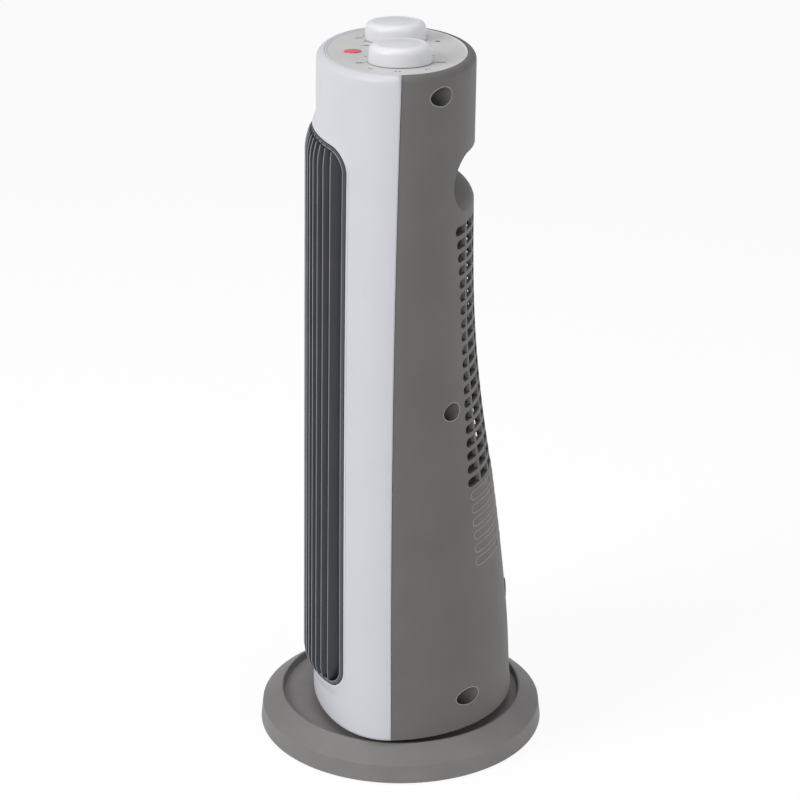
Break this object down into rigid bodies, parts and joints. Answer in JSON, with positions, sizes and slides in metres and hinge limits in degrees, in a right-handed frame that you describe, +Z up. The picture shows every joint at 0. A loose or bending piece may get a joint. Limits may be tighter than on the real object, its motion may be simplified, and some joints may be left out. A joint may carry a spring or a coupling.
{
  "type": "tower fan heater",
  "caption": "Oscillating tower fan heater: two-shell tower with a tall front grille, rear slots and hand grip, knobs on top, on a round weighted base.",
  "frame": {"origin": "middle of the round base on the floor", "axes": "+Z up, the outlet grille faces -Y, the two knobs stand side by side along X"},
  "size_m": [0.22, 0.22, 0.5422],
  "materials": {
    "white_abs": "satin moulded",
    "grey_abs": "fine spark texture",
    "base_abs": "fine spark texture",
    "charcoal_abs": "satin moulded",
    "panel_abs": "satin moulded, printed marks",
    "knob_acrylic": "frosted translucent",
    "red_lens": "translucent",
    "black_nylon": "moulded",
    "white_acetal": "moulded",
    "heatproof_plastic": "moulded",
    "zinc_steel": "zinc plated",
    "black_screw": "black oxide",
    "cast_weight": "as cast",
    "rubber": "moulded",
    "aluminium": "rolled",
    "brass": "stamped",
    "copper_winding": "enamelled wire",
    "lamp_glass": "clear"
  },
  "bodies": {
    "base": {"base_cover": "base_abs", "base_plate": "zinc_steel", "base_weight": "cast_weight", "rubber_feet": "rubber", "base_screws": "zinc_steel", "swivel_bearing": "white_acetal", "swivel_retainer": "zinc_steel", "retainer_screws": "zinc_steel", "crank_guide": "white_acetal"},
    "tower": {"oscillation_motor": "zinc_steel", "oscillation_screws": "zinc_steel", "tower_floor": "black_nylon", "floor_screws": "zinc_steel", "front_shell": "white_abs", "rear_shell": "grey_abs", "shell_screws": "black_screw", "cord_gland": "black_nylon", "outlet_grille": "charcoal_abs", "top_panel": "panel_abs", "panel_screws": "zinc_steel", "control_bracket": "zinc_steel", "selector_switch": "heatproof_plastic", "thermostat": "heatproof_plastic", "indicator_lens": "red_lens", "indicator_lamp": "lamp_glass", "fan_housing": "heatproof_plastic", "top_bearing": "rubber", "motor_stator": "zinc_steel", "motor_coil": "copper_winding", "motor_brackets": "zinc_steel", "motor_screws": "zinc_steel", "heater_frame": "heatproof_plastic", "ptc_bars": "aluminium", "ptc_fins": "aluminium", "heater_terminals": "brass", "thermal_cutout": "heatproof_plastic", "thermal_fuse": "zinc_steel", "terminal_block": "heatproof_plastic", "tip_over_switch": "heatproof_plastic"},
    "selector": {"selector_knob": "knob_acrylic", "selector_spindle": "white_acetal"},
    "thermostat_control": {"thermostat_knob": "knob_acrylic", "thermostat_spindle": "white_acetal"},
    "fan": {"impeller": "black_nylon", "motor_shaft": "zinc_steel", "stub_shaft": "zinc_steel", "motor_rotor": "aluminium"},
    "crank": {"oscillation_crank": "white_acetal", "oscillation_shaft": "zinc_steel"}
  },
  "joints": [
    {"name": "tower_swivel", "type": "hinge", "parent": "base", "child": "tower", "pos_m": [0, 0, 0.03], "axis": [0, 0, 1], "range_deg": [-30, 30]},
    {"name": "selector_turn", "type": "hinge", "parent": "tower", "child": "selector", "pos_m": [-0.038, -0.0019, 0.53], "axis": [0, 0, 1], "range_deg": [-240, 0]},
    {"name": "thermostat_turn", "type": "hinge", "parent": "tower", "child": "thermostat_control", "pos_m": [0.038, -0.0019, 0.53], "axis": [0, 0, 1], "range_deg": [-270, 0]},
    {"name": "fan_spin", "type": "hinge", "parent": "tower", "child": "fan", "pos_m": [0, 0.018, 0.3], "axis": [0, 0, 1], "continuous": true},
    {"name": "crank_turn", "type": "hinge", "parent": "tower", "child": "crank", "pos_m": [0, 0.046, 0.03], "axis": [0, 0, 1], "range_deg": [-90, 90]}
  ],
  "couplings": [
    {"joint": "crank_turn", "follows": "tower_swivel", "ratio": -3}
  ]
}
